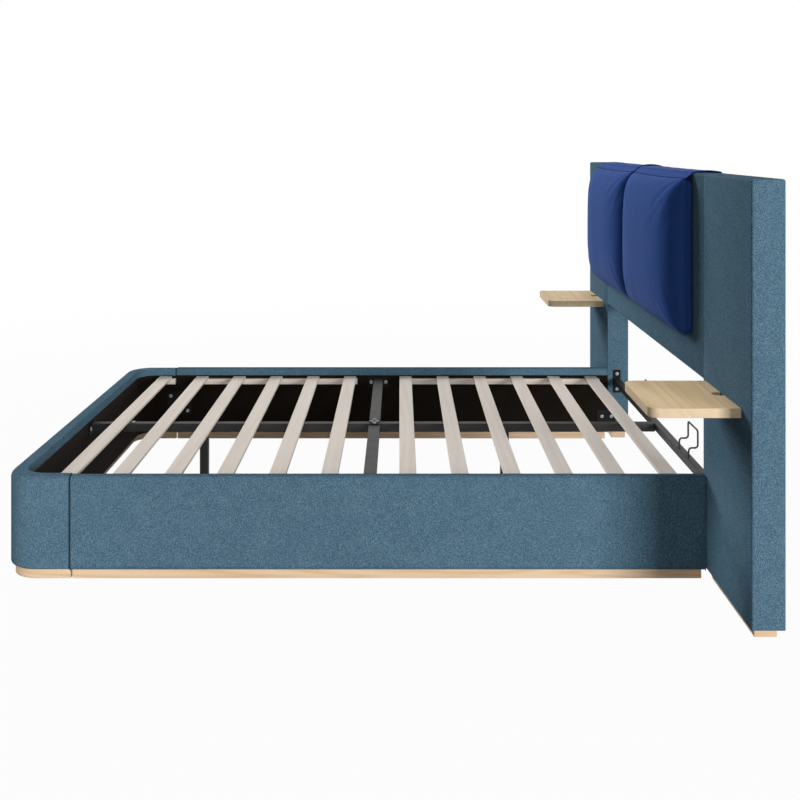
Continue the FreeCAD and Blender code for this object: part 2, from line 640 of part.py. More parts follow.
keep("foot_beam_bracket", cut("foot_beam_bracket", join("foot_beam_bracket", foot_plate, foot_stub), bores))

# Centre legs with a welded flange, and their glides
glides = []
for end, place in (("foot", "FootLegPlace"), ("head", "HeadLegPlace")):
    middle = f"({SEAM} + {place})"
    leg_along = about(middle, "BeamSize")
    post = tube(f"leg_post_{end}", beam_across, leg_along, ("GlideHeight", f"{BEAM_LOW} - TubeWall"), "z")
    flange = block(f"leg_flange_{end}", beam_across, about(middle, "LegFlangeLength"),
                   (f"{BEAM_LOW} - TubeWall", BEAM_LOW))
    keep(f"centre_leg_{end}", join(f"centre_leg_{end}", post, flange))
    pad = block(f"glide_pad_{end}", about("0", "BeamSize + 2 * GlideLip"),
                about(middle, "BeamSize + 2 * GlideLip"), ("0", "GlideHeight"))
    inside = "BeamSize - 2 * TubeWall - 2 * FitGap"
    plug = block(f"glide_plug_{end}", about("0", inside), about(middle, inside),
                 ("0", "GlideHeight + GlidePlug"))
    glides.append(join(f"glide_{end}", pad, plug))
keep("leg_glides", group("leg_glides", *glides))

# Flat plates across the rail seams and from the rails to the wings
corner_plates = []
head_plates = []
for word, sign in SIDES:
    across = on_side(sign, PLATE_FACE, INNER)
    plate = block(f"corner_plate_{word}", across, about(f"({SEAM} + CornerPlateShift)", "CornerPlateLength"),
                  about("CornerPlateLevel", "CornerPlateHeight"))
    corner_plates.append(cut(f"corner_plate_{word}", plate, bores))
    plate = block(f"head_plate_{word}", across, about(f"({HEAD} - HeadPlateShift)", "HeadPlateLength"),
                  about("HeadPlateLevel", "HeadPlateHeight"))
    head_plates.append(cut(f"head_plate_{word}", plate, bores))
keep("foot_joint_plates", group("foot_joint_plates", *corner_plates))
keep("rail_head_plates", group("rail_head_plates", *head_plates))

# Mattress stops: one bent wire each, standing on the head bar
for word, sign in SIDES:
    place = "RightStopPlace" if sign > 0 else "-LeftStopPlace"
    near, far = [number(side) for side in about(place, "StopSpan")]
    low = number("LedgerTop")
    step_level = number("LedgerTop + StopRise")
    top = number("LedgerTop + StopHeight")
    front = number(BAR_MIDDLE)
    rear = number(f"{BAR_MIDDLE} + StopStep")
    rising = [(front, low), (front, step_level), (rear, step_level), (rear, top)]
    route = [(near, along, level) for along, level in rising]
    route += [(far, along, level) for along, level in reversed(rising)]
    wire = doc.addObject("Part::Feature", f"stop_wire_{word}")
    wire.Shape = bent_wire(route, number("StopBend"), number("StopWireRadius"))
    keep(f"mattress_stop_{word}", wire)

# Headboard: a centre panel over an arch, between two wings that stand on the floor
depth = (HEAD, BACK)
core_depth = (f"{HEAD} + {COVER}", f"{BACK} - {COVER}")
centre_core = block("centre_core", (f"-{INNER}", INNER), core_depth,
                    (f"ArchTop + {COVER}", f"HeadboardTop - {COVER}"))
keep("headboard_centre_core", centre_core)
centre_skin = block("centre_skin", (f"-{INNER}", INNER), depth, ("ArchTop", "HeadboardTop"))
centre_skin = rounded("centre_skin", centre_skin, "HeadRound", lambda edge: runs(edge, "x"))
centre_room = block("centre_room", (f"-{INNER} - {OVERRUN}", f"{INNER} + {OVERRUN}"), core_depth,
                    (f"ArchTop + {COVER}", f"HeadboardTop - {COVER}"))
keep("headboard_centre_cover", cut("headboard_centre_cover", centre_skin, centre_room))
wing_plinths = []
for word, sign in SIDES:
    core_across = on_side(sign, f"{INNER} + {COVER}", f"{WING_SIDE} - {COVER}")
    core_top = f"HeadboardTop - {COVER}"
    core = block(f"{word}_wing_block", core_across, core_depth, ("WingPlinthHeight", core_top))
    keep(f"{word}_wing_core", cut(f"{word}_wing_core", core, bores, rod_bores))
    skin = block(f"{word}_wing_skin", on_side(sign, INNER, WING_SIDE), depth,
                 ("WingPlinthHeight", "HeadboardTop"))
    outer_face = f"{sign} * {WING_SIDE}"
    inner_face = f"{sign} * {INNER}"
    skin = rounded(f"{word}_wing_skin", skin, "HeadRound",
                   lambda edge: not at_level(edge, "z", "WingPlinthHeight") and
                   (at_level(edge, "z", "HeadboardTop") or at_level(edge, "x", outer_face))
                   and not at_level(edge, "x", inner_face))
    room = block(f"{word}_wing_room", core_across, core_depth, (f"WingPlinthHeight - {OVERRUN}", core_top))
    keep(f"{word}_wing_cover", cut(f"{word}_wing_cover", skin, room, bores, rod_bores))
    plinth_across = on_side(sign, f"{INNER} + WingFrontInset", f"{WING_SIDE} - WingSideInset")
    plinth_depth = (f"{HEAD} + WingFrontInset", f"{BACK} - WingBackInset")
    wing_plinths.append(block(f"{word}_wing_plinth", plinth_across, plinth_depth, ("0", "WingPlinthHeight")))
keep("wing_plinths", group("wing_plinths", *wing_plinths))

# Floating shelves with a rounded cable notch in the back edge
for word, sign in SIDES:
    inner_place = SHELF_PLACES[word]
    inner_end = f"{sign} * {inner_place}"
    outer_end = f"{sign} * ({inner_place} + ShelfWidth)"
    middle = f"({inner_place} + ShelfWidth / 2)"
    notch_near = f"{sign} * ({middle} - NotchWidth / 2)"
    notch_far = f"{sign} * ({middle} + NotchWidth / 2)"
    front = f"({HEAD} - ShelfDepth)"
    notch_front = f"({HEAD} - NotchDepth)"
    notch_round = f"({NOTCH_ROUND_SHARE} * NotchWidth)"
    corners = [
        (inner_end, HEAD, None),
        (inner_end, front, "ShelfCorner"),
        (outer_end, front, "ShelfCorner"),
        (outer_end, HEAD, None),
        (notch_far, HEAD, None),
        (notch_far, notch_front, notch_round),
        (notch_near, notch_front, notch_round),
        (notch_near, HEAD, None),
    ]
    board = plan_body(f"{word}_shelf", corners, "ShelfTop - ShelfThickness", "ShelfTop")
    keep(f"{word}_shelf", cut(f"{word}_shelf", board, rod_bores))

# Cushions: a crowned pad with drawn-in sides, hung by a flap over the headboard
for word, sign in SIDES:
    middle = f"(-CushionShift + {sign} * (CushionWidth + CushionSpacing) / 2)"
    half_width = number("CushionWidth / 2")
    half_height = number("CushionHeight / 2")
    levels = [("FitGap", "CushionDraw"), ("CushionEdge", "0")]
    levels += [(f"CushionEdge + {rise} * CushionCrown", f"{inset} * CushionShoulder")
               for rise, inset in CROWN_SHARES]
    rings = []
    for out, inset in levels:
        centre = FreeCAD.Vector(number(middle), number(f"{HEAD} - ({out})"), number(CUSHION_MIDDLE))
        corner = number(f"CushionCorner + {RING_CORNER_SHARE} * ({inset})")
        drawn = number(inset)
        rings.append(ring(centre, half_width - drawn, half_height - drawn, corner, number("CushionDraw")))
    pad = doc.addObject("Part::Feature", f"{word}_pad")
    pad.Shape = Part.makeLoft(rings, True, True)
    keep(f"{word}_cushion", pad)
    across = about(middle, "CushionWidth - 2 * FlapSetback")
    wider = about(middle, "CushionWidth")
    hang = "(HeadboardTop + FitGap + FlapThickness)"
    flap = block(f"{word}_flap_block", across,
                 (f"{HEAD} - FitGap - FlapThickness", f"{BACK} + FitGap + FlapThickness"),
                 ("HeadboardTop - FlapDrop", hang))
    flap = rounded(f"{word}_flap", flap, "FlapThickness",
                   lambda edge: at_level(edge, "z", hang) and runs(edge, "x"))
    headboard_room = block(f"{word}_flap_room", wider, (f"{HEAD} - FitGap", f"{BACK} + FitGap"),
                           (f"HeadboardTop - FlapDrop - {OVERRUN}", "HeadboardTop + FitGap"))
    front_room = block(f"{word}_flap_front", wider,
                       (f"{HEAD} - FlapThickness - {OVERRUN}", f"{HEAD} - FitGap"),
                       (f"HeadboardTop - FlapDrop - {OVERRUN}",
                        f"{CUSHION_TOP} - CushionDraw - FlapThickness"))
    keep(f"{word}_cushion_flap", cut(f"{word}_cushion_flap", flap, headboard_room, front_room, pad))

doc.recompute()
for made in doc.Objects:
    if {"Invalid", "Error"} & set(made.State):
        raise RuntimeError(f"{made.Label} did not build: {made.State}")
for name, made in pieces.items():
    shape = made.Shape
    if shape.isNull() or not shape.isValid() or not shape.Solids:
        raise RuntimeError(f"{name} has no valid solid")

os.makedirs("parts", exist_ok=True)
for name, made in pieces.items():
    made.Shape.exportStep(os.path.join("parts", f"{name}.step"))
print(len(pieces), "sub-parts written")
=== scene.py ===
"""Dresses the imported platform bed: nubby upholstery, hung back cushions, pale wood and black steel.

Lengths are in metres in the CAD frame: +Z up, +Y from the foot towards the
headboard, +X towards the side that the camera looks at.
"""

import math

import bpy
import numpy as np
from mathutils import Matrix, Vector, noise


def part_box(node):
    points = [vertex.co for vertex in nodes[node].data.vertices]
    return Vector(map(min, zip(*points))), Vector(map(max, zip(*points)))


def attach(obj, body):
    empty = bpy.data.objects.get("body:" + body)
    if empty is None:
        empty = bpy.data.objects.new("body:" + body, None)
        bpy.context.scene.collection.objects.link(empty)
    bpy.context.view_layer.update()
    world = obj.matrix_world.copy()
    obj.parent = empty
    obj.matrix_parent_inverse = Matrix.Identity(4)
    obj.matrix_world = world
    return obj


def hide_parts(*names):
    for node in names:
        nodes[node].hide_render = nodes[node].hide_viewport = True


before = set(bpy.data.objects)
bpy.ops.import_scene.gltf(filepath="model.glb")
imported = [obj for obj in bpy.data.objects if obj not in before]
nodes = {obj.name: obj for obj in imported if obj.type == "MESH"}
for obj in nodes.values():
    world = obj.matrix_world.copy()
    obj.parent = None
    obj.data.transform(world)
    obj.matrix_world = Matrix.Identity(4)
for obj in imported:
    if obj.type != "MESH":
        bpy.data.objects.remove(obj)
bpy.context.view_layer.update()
scene = bpy.context.scene

centre_low, centre_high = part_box("headboard_centre_cover")
HEAD_FRONT = centre_low.y
HEAD_BACK = centre_high.y
HEAD_TOP = centre_high.z
rail_low, rail_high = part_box("right_rail_cover")
RAIL_ENDS = (rail_low.y, rail_high.y)
WING_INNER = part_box("right_wing_cover")[0].x

# Cushions
CUSHION_EDGE = 0.024      # boxed side, from the headboard to the welt
FILLING_REACH = 0.011     # the most that the filling pushes the skin out
SKIN_CELL = 0.0055        # size of the remeshed skin's cells
CROWN_RUN = 0.025         # how far in from the welt the crown rises steeply
CROWN_SHAPE = 0.78
WELT_RADIUS = 0.0021
WELT_CORNER = 0.030
WELT_DRAW = 0.005         # how far a side is drawn in between two corners

# Flaps
FLAP_CLEARANCE = 0.0022   # from the headboard's skin to the middle of the sheet
FLAP_THICKNESS = 0.0022
FLAP_BEND = 0.007
FLAP_TUCK = 0.0025        # how far the sheet's seam lies under the cushion's top
FLAP_WAVE = 0.0065
FLAP_RIPPLE = 0.0008
FLAP_STATIONS = 121
# How far each flap lifts off the headboard's top at its right and its left end
FLAP_ARCHES = {"right": (0.0042, 0.0020), "left": (0.0075, 0.0020)}
ARCH_RUN = 0.085

# Seams of the upholstery
# Width of the painted shade along the seam between the foot and the rails
SEAM_SHADE_REACH = 0.0044
FRAME_TUCK = 0.0036
HEADBOARD_TUCK = 0.0014

# Floor and studio
FLOOR_SIZE = 30
FLOOR_WHITE = 0.972       # the rest keeps the object's shadow
SHADOW_FIELD = 2.2        # beyond this from the middle the floor fades to white
SKY = 0.1

# The photograph's frame
PHOTO_SIDE = 800
HORIZON_ROW = 142
EYE_ASIDE = 4.10
EYE_BEFORE_HEADBOARD = 0.9099
EYE_HEIGHT = 1.300


# Finishes

class Wire:
    """A node's output in a finish. Arithmetic on it adds Math nodes."""

    def __init__(self, finish, socket):
        self.finish = finish
        self.socket = socket

    def _maths(self, operation, first, second):
        return self.finish.add("ShaderNodeMath", {"operation": operation}, {0: first, 1: second})

    def __add__(self, other):
        return self._maths("ADD", self, other)

    __radd__ = __add__

    def __mul__(self, other):
        return self._maths("MULTIPLY", self, other)

    __rmul__ = __mul__

    def __sub__(self, other):
        return self._maths("SUBTRACT", self, other)

    def __rsub__(self, other):
        return self._maths("SUBTRACT", other, self)

    def __truediv__(self, other):
        return self._maths("DIVIDE", self, other)

    def __pow__(self, other):
        return self._maths("POWER", self, other)

    def at_most(self, other):
        return self._maths("MINIMUM", self, other)

    def at_least(self, other):
        return self._maths("MAXIMUM", self, other)


class Finish:
    """A material or a world, built up node by node."""

    def __init__(self, name, kind="materials"):
        self.made = getattr(bpy.data, kind).new(name)
        self.made.use_nodes = True
        self.tree = self.made.node_tree
        self.tree.nodes.clear()

    def add(self, kind, settings=None, sockets=None, out=0):
        """A node with its settings, then its sockets filled or linked."""
        node = self.tree.nodes.new(kind)
        for name, value in (settings or {}).items():
            setattr(node, name, value)
        for name, value in (sockets or {}).items():
            if isinstance(value, Wire):
                self.tree.links.new(value.socket, node.inputs[name])
            else:
                node.inputs[name].default_value = value
        return Wire(self, node.outputs[out]) if node.outputs else None

    def mix(self, share, first, second):
        """A colour between two, by share."""
        return self.add("ShaderNodeMix", {"data_type": "RGBA", "clamp_factor": True},
                        {0: share, 6: first, 7: second}, out=2)

    def spot(self, stretch=(1, 1, 1)):
        """The place on the piece in metres, stretched along its axes."""
        place = self.add("ShaderNodeTexCoord", out="Object")
        return self.add("ShaderNodeVectorMath", {"operation": "MULTIPLY"}, {0: place, 1: stretch})

    def part_of(self, vector, axis):
        """One part of a vector, by its axis."""
        return self.add("ShaderNodeSeparateXYZ", sockets={0: vector}, out=axis)

    def cloud(self, place, scale, detail=2.0, roughness=0.5, out="Fac"):
        """Noise from 0 to 1 at so many waves a metre."""
        return self.add("ShaderNodeTexNoise", sockets={
            "Vector": place, "Scale": scale, "Detail": detail, "Roughness": roughness}, out=out)

    def bump(self, height, rise, strength):
        """A normal from a height that stands for so many metres."""
        return self.add("ShaderNodeBump", sockets={
            "Height": height, "Distance": rise, "Strength": strength})

    def surface(self, **sockets):
        """The finished surface: sockets of the Principled shader by name."""
        named = {name.replace("_", " "): value for name, value in sockets.items()}
        shader = self.add("ShaderNodeBsdfPrincipled", sockets=named)
        self.add("ShaderNodeOutputMaterial", sockets={"Surface": shader})
        return self.made

    def looked_at(self):
        """1 where the camera sees the surface itself, in a reflection or through glass."""
        rays = [self.add("ShaderNodeLightPath", out=f"Is {ray} Ray")
                for ray in ("Camera", "Glossy", "Transmission")]
        return (rays[0] + rays[1] + rays[2]).at_most(1.0)


def dye(red, green, blue):
    """A colour as a screen shows it, from 0 to 255, as linear light."""
    shares = [part / 255 for part in (red, green, blue)]
    light = [part / 12.92 if part <= 0.04045 else ((part + 0.055) / 1.055) ** 2.4
             for part in shares]
    return (*light, 1.0)


def boucle(name, shade, pile, glint, seam_shade, seam, reach):
    """Nubby looped cloth: small uneven loops with a painted highlight on their tips and painted shade
    between them, and a painted shade along a seam across.
    """
    finish = Finish(name)
    place = finish.spot()
    wander = finish.cloud(place, 160.0, out="Color")
    bent = finish.add("ShaderNodeVectorMath", {"operation": "MULTIPLY_ADD"},
                      {0: wander, 1: (0.005, 0.005, 0.005), 2: place})
    loops = finish.add("ShaderNodeTexVoronoi", {"feature": "SMOOTH_F1"},
                       {"Vector": bent, "Scale": 370.0, "Smoothness": 0.4}, out="Distance")
    strands = finish.cloud(bent, 900.0, detail=3.0, roughness=0.7)
    patches = finish.cloud(place, 18.0, detail=4.0, roughness=0.6)
    # The low parts between the loops take the shade colour as a painted shade, and the loop tips take
    # the glint colour as a painted highlight
    height = (1 - loops * 1.3) * 0.75 + strands * 0.35
    tone = finish.mix((height * 1.5 - 0.45) + (patches - 0.5) * 0.5, shade, pile)
    tips = ((height - 0.62) * 3.0).at_least(0.0).at_most(0.6)
    looped = finish.mix(tips, tone, glint)
    # A painted shade along the seam plane across the pile, darkest at the seam
    along = finish.part_of(place, "Y")
    offset = finish.add("ShaderNodeMath", {"operation": "ABSOLUTE"}, {0: along - seam})
    seam_shade_share = (1 - offset / reach).at_least(0.0) ** 0.6
    return finish.surface(
        Base_Color=finish.mix(seam_shade_share * 0.85, looped, seam_shade),
        Roughness=0.95,
        Sheen_Weight=0.01,
        Sheen_Roughness=0.5,
        Specular_IOR_Level=0.005,
        Normal=finish.bump(height, 0.0016, 0.7),
    )


def leather(name, side, hide):
    """Smooth satin hide, a touch lighter towards the boxed side: painted light where the side lies in
    shade.
    """
    front_low, front_high = HEAD_FRONT - 0.085, HEAD_FRONT - 0.012
    finish = Finish(name)
    place = finish.spot()
    pebbles = finish.add("ShaderNodeTexVoronoi", {"feature": "F1"},
                         {"Vector": place, "Scale": 850.0}, out="Distance")
    handling = finish.cloud(place, 7.0, detail=4.0, roughness=0.55)
    ripples = finish.cloud(place, 45.0, detail=2.0)
    along = finish.part_of(place, "Y")
    # Painted light: the colour runs from the side colour at the boxed side to the hide colour on the
    # crowned front
    crown = ((front_high - along) / (front_high - front_low)).at_least(0.0).at_most(1.0)
    tone = crown * 0.85 + (handling - 0.5) * 0.35
    return finish.surface(
        Base_Color=finish.mix(tone, side, hide),
        Roughness=0.52 + handling * 0.12,
        Specular_IOR_Level=0.03,
        Normal=finish.bump(pebbles * 0.25 + ripples * 0.75, 0.0006, 0.5),
    )


def timber(name, pale, figure, stretch, roughness=0.55, rings=7.0, edge=None):
    """Wood with growth lines and fine pores drawn out along its grain."""
    finish = Finish(name)
    place = finish.spot(stretch)
    pores = finish.cloud(place, 420.0, detail=4.0, roughness=0.65)
    streaks = finish.cloud(place, 70.0, detail=3.0, roughness=0.6)
    broad = finish.cloud(place, rings, detail=2.0, roughness=0.45)
    lines = finish.add("ShaderNodeMath", {"operation": "SINE"}, {0: broad * 55.0}) * 0.5 + 0.5
    share = (lines ** 2.0) * 0.38 + (streaks - 0.35) * 0.75 + (pores - 0.5) * 0.4
    board = finish.mix(share, pale, figure)
    # Upright faces take the edge colour, a painted shade that evens out the extra light they catch
    # compared with the top
    if edge:
        upright = finish.part_of(finish.add("ShaderNodeNewGeometry", out="Normal"), "Z")
        board = finish.mix(1 - upright * upright, board, finish.mix(share * 0.5, edge, pale))
    return finish.surface(
        Base_Color=board,
        Roughness=roughness + pores * 0.12,
        Specular_IOR_Level=0.15,
        Normal=finish.bump(pores * 0.6 + lines * 0.4, 0.0004, 0.35),
    )


def coated_steel(name, coat, worn, roughness, gleam):
    """Powder-coated steel: fine orange peel and rubbed patches."""
    finish = Finish(name)
    place = finish.spot()
    peel = finish.cloud(place, 700.0, detail=2.0)
    rubbed = finish.cloud(place, 22.0, detail=5.0, roughness=0.65)
    return finish.surface(
        Base_Color=finish.mix((rubbed - 0.4) * 1.4, coat, worn),
        Roughness=roughness + (rubbed - 0.5) * 0.25,
        Specular_IOR_Level=gleam,
        Normal=finish.bump(peel, 0.0003, 0.4),
    )


def zinc(name, dull, bright):
    """Bright plated steel with a faint cloudy bloom."""
    finish = Finish(name)
    bloom = finish.cloud(finish.spot(), 160.0, detail=3.0)
    return finish.surface(
        Base_Color=finish.mix(bloom, dull, bright),
        Metallic=0.85,
        Roughness=0.3 + bloom * 0.2,
        Normal=finish.bump(bloom, 0.0002, 0.4),
    )


def felt(name, dark, lint):
    """Thin matted felt."""
    finish = Finish(name)
    place = finish.spot()
    hairs = finish.cloud(place, 420.0, detail=4.0, roughness=0.75)
    patches = finish.cloud(place, 30.0, detail=3.0)
    return finish.surface(
        Base_Color=finish.mix(hairs * 0.8 + (patches - 0.5) * 0.6, dark, lint),
        Roughness=0.97,
        Specular_IOR_Level=0.1,
        Normal=finish.bump(hairs, 0.0008, 0.6),
    )


def moulded(name, colour, scuffed):
    """Plain moulded plastic with a spark-eroded grain."""
    finish = Finish(name)
    grain = finish.cloud(finish.spot(), 1100.0, detail=2.0)
    return finish.surface(
        Base_Color=finish.mix(grain * 0.3, colour, scuffed),
        Roughness=0.6 + grain * 0.1,
        Normal=finish.bump(grain, 0.0002, 0.4),
    )


# The darkest colour here is a painted shade along the seam between the foot and the rails
FABRIC = boucle("teal_boucle", dye(61, 87, 104), dye(98, 126, 142), dye(138, 159, 168),
                seam_shade=dye(12, 18, 24), seam=RAIL_ENDS[0], reach=SEAM_SHADE_REACH)
LINING = felt("black_felt", dye(12, 8, 5), dye(30, 23, 17))
# A small stretch along one axis draws the wood's figure out along it
PLINTH = timber("pale_plinth_wood", dye(204, 178, 148), dye(180, 144, 106), (0.05, 0.05, 1.0),
                rings=16.0)
# The shelf's edge colour is a painted shade on its upright faces
SHELF = timber("shelf_oak", dye(222, 198, 160), dye(193, 163, 121), (0.07, 1.0, 1.0),
               edge=dye(192, 172, 143))
LEDGER = timber("ledger_pine", dye(230, 217, 204), dye(212, 196, 178), (1.0, 0.05, 1.0))
SLAT = timber("washed_slat_veneer", dye(213, 204, 194), dye(199, 189, 178), (0.05, 1.0, 1.0),
              roughness=0.5)
BOARD = timber("core_board", dye(176, 148, 116), dye(140, 112, 84), (0.2, 0.2, 1.0),
               roughness=0.75)
STEEL = coated_steel("black_powder_coat", dye(19, 18, 17), dye(31, 29, 27), 0.5, 0.34)
PLATE = coated_steel("black_plate_coat", dye(9, 8, 8), dye(18, 16, 15), 0.6, 0.1)
ZINC = zinc("zinc_plate", dye(108, 112, 114), dye(146, 149, 150))
GLIDE = moulded("black_glide_plastic", dye(34, 34, 34), dye(70, 70, 70))
LEATHER = leather("royal_blue_leather", dye(37, 66, 126), dye(34, 64, 122))
PIPING = leather("royal_blue_piping", dye(36, 63, 124), dye(36, 64, 126))

# The finish and the eased edge of each CAD node, by the words in its name
DRESSING = {
    "_cover": (FABRIC, 0.0018),
    "_lining": (LINING, 0.0004),
    "plinth": (PLINTH, 0.0015),
    "_shelf": (SHELF, 0.0022),
    "ledger": (LEDGER, 0.0012),
    "slat_": (SLAT, 0.0024),
    "_core": (BOARD, 0.0005),
    "frame_bolts": (ZINC, 0.0),
    "shelf_rods": (ZINC, 0.0),
    "leg_glides": (GLIDE, 0.0008),
    "plate": (PLATE, 0.0016),
    "bracket": (PLATE, 0.0016),
}
BARE_STEEL = (STEEL, 0.0016)


def corners_of(mesh):
    """The mesh's vertices as an array."""
    places = np.zeros(len(mesh.vertices) * 3, np.float32)
    mesh.vertices.foreach_get("co", places)
    return places.reshape(-1, 3).astype(float)


def mark_seam(piece, axis, places, core):
    """Weights for the edges where a cover turns in at a seam, outside the core that it wraps."""
    near_core, near_seam = 0.0006, 0.0004
    spots = corners_of(piece.data)
    other = [place for place in range(3) if place != axis]
    shape = spots[:, other]
    low, high = (np.array(corner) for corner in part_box(core))
    if axis == 1:
        # Left and right are alike here, so the right rail's core serves for both
        shape, low, high = np.abs(shape), np.abs(low), np.abs(high)
    low, high = np.minimum(low, high)[other], np.maximum(low, high)[other]
    in_core = ((shape > low - near_core) & (shape < high + near_core)).all(axis=1)
    on_seam = (np.abs(spots[:, axis, None] - np.array(places)) < near_seam).any(axis=1)
    on_seam &= ~in_core
    weight = piece.data.attributes.new("bevel_weight_edge", "FLOAT", "EDGE")
    ends = np.array([edge.vertices[:] for edge in piece.data.edges])
    both = on_seam[ends[:, 0]] & on_seam[ends[:, 1]]
    weight.data.foreach_set("value", both.astype(np.float32))


def ease(piece, width, seam=0.0):
    """Smooth shading, with each sharp edge and each marked seam turned into a small round."""
    piece.data.polygons.foreach_set("use_smooth", [True] * len(piece.data.polygons))
    if "custom_normal" in piece.data.attributes:
        piece.data.attributes.remove(piece.data.attributes["custom_normal"])
    weld = piece.modifiers.new("weld", "WELD")
    weld.merge_threshold = 0.00002
    flat = piece.modifiers.new("flat_faces", "DECIMATE")
    flat.decimate_type = "DISSOLVE"
    flat.angle_limit = math.radians(0.5)
    if seam:
        tuck = piece.modifiers.new("tucked_seam", "BEVEL")
        tuck.width = seam
        tuck.segments = 3
        tuck.limit_method = "WEIGHT"
        tuck.use_clamp_overlap = False
    if width:
        rounds = piece.modifiers.new("eased_edges", "BEVEL")
        rounds.width = width
        rounds.segments = 2
        rounds.limit_method = "ANGLE"
        rounds.angle_limit = math.radians(40)
        rounds.harden_normals = True


for name, piece in nodes.items():
    finish, width = next((dress for words, dress in DRESSING.items() if words in name), BARE_STEEL)
    piece.data.materials.clear()
    piece.data.materials.append(finish)
    if name in ("foot_cover", "left_rail_cover", "right_rail_cover"):
        mark_seam(piece, 1, RAIL_ENDS, "right_rail_core")
        ease(piece, width, FRAME_TUCK)
    elif name.endswith("_cover"):
        mark_seam(piece, 0, (WING_INNER, -WING_INNER), name.replace("_cover", "_core"))
        ease(piece, width, HEADBOARD_TUCK)
    else:
        ease(piece, width)


# Soft pieces

def linked(name, data):
    """A new piece of the scene that shows the data."""
    piece = bpy.data.objects.new(name, data)
    scene.collection.objects.link(piece)
    return piece


def piece_from(name, points, faces, material):
    """A new smooth mesh piece."""
    mesh = bpy.data.meshes.new(name)
    mesh.from_pydata([tuple(point) for point in points], [], faces)
    mesh.polygons.foreach_set("use_smooth", [True] * len(mesh.polygons))
    mesh.materials.append(material)
    return linked(name, mesh)


def shown_mesh(piece):
    """The mesh that a piece shows, with its modifiers worked in."""
    bpy.context.view_layer.update()
    shown = piece.evaluated_get(bpy.context.evaluated_depsgraph_get())
    return bpy.data.meshes.new_from_object(shown)


def bake(piece):
    """Works a piece's modifiers into its mesh."""
    mesh = shown_mesh(piece)
    piece.modifiers.clear()
    piece.data = mesh


def set_corners(mesh, places):
    """Moves the mesh's vertices to the places."""
    mesh.vertices.foreach_set("co", places.astype(np.float32).ravel())
    mesh.update()


def crown_at(spots, low, high):
    """How far a cushion stands out at points of its front: steep at the welt, then nearly flat."""
    rise = 1.0
    for axis in (0, 2):
        inset = np.minimum(spots[:, axis] - low[axis], high[axis] - spots[:, axis]).clip(0, None)
        rise = rise * (1 - np.exp(-((inset + 0.0008) / CROWN_RUN) ** CROWN_SHAPE))
    return CUSHION_EDGE + (high.y - low.y - CUSHION_EDGE) * rise


def crowned_skin(node):
    """The node's form remeshed evenly, with its front set to the crown."""
    low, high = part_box(node)
    source = nodes[node].data.copy()
    source.materials.clear()
    source.materials.append(LEATHER)
    pad = linked(f"{node}_pad", source)
    skin = pad.modifiers.new("skin", "REMESH")
    skin.mode = "VOXEL"
    skin.voxel_size = SKIN_CELL
    skin.use_smooth_shade = True
    bake(pad)
    start = corners_of(pad.data)
    depth = HEAD_FRONT - start[:, 1]
    front = np.clip((depth - CUSHION_EDGE - 0.001) / 0.004, 0, 1)
    # A touch slack to begin with, so that the filling has somewhere to go
    crown = CUSHION_EDGE + (crown_at(start, low, high) - CUSHION_EDGE) * 0.95
    start[:, 1] = HEAD_FRONT - depth * (1 - front) - crown * front
    set_corners(pad.data, start)
    relax = pad.modifiers.new("relax", "SMOOTH")
    relax.iterations = 4
    bake(pad)
    return pad


def blow_up(pad, last_tick=20):
    """Blows a cushion up between its seams, which are held, as cloth under pressure."""
    stands = HEAD_FRONT - corners_of(pad.data)[:, 1]
    held = np.clip((CUSHION_EDGE + 0.007 - stands) / 0.006, 0, 1)
    seams = pad.vertex_groups.new(name="seams")
    for index in np.nonzero(held > 0)[0]:
        seams.add([int(index)], float(held[index]), "REPLACE")
    cloth = pad.modifiers.new("filling", "CLOTH")
    cloth.settings.vertex_group_mass = "seams"
    cloth.settings.quality = 4
    cloth.settings.mass = 0.3
    cloth.settings.tension_stiffness = 15
    cloth.settings.compression_stiffness = 15
    cloth.settings.bending_stiffness = 10
    cloth.settings.use_pressure = True
    cloth.settings.uniform_pressure_force = 4
    cloth.settings.effector_weights.gravity = 0
    cloth.point_cache.frame_start = 1
    cloth.point_cache.frame_end = last_tick
    for tick in range(1, last_tick + 1):
        scene.frame_set(tick)
    bake(pad)
    scene.frame_set(1)
    pad.vertex_groups.clear()


def cushion_from(node):
    """A stuffed cushion: a crowned skin, blown up by its filling and settled over its front."""
    pad = crowned_skin(node)
    start = corners_of(pad.data)
    blow_up(pad)
    moved = corners_of(pad.data) - start
    # The push is scaled as a whole, because a cap on each point would crease the skin
    moved *= min(1.0, FILLING_REACH / max(np.linalg.norm(moved, axis=1).max(), 1e-9))
    set_corners(pad.data, start + moved)
    crown = pad.vertex_groups.new(name="crown")
    stands = HEAD_FRONT - start[:, 1]
    for share in np.linspace(0.1, 1, 10):
        ring = np.abs(np.clip((stands - CUSHION_EDGE - 0.003) / 0.012, 0, 1) - share) <= 0.05
        crown.add(np.nonzero(ring)[0].tolist(), float(share), "REPLACE")
    settle = pad.modifiers.new("settle", "SMOOTH")
    settle.iterations = 20
    settle.vertex_group = "crown"
    finer = pad.modifiers.new("finer", "SUBSURF")
    finer.levels = 1
    finer.render_levels = 1
    bake(pad)
    return pad


def mirrored(pad, name, middle, to_middle):
    """A copy of a cushion turned left for right about another middle."""
    mesh = pad.data.copy()
    spots = corners_of(mesh)
    spots[:, 0] = to_middle - (spots[:, 0] - middle)
    set_corners(mesh, spots)
    mesh.flip_normals()
    return linked(name, mesh)


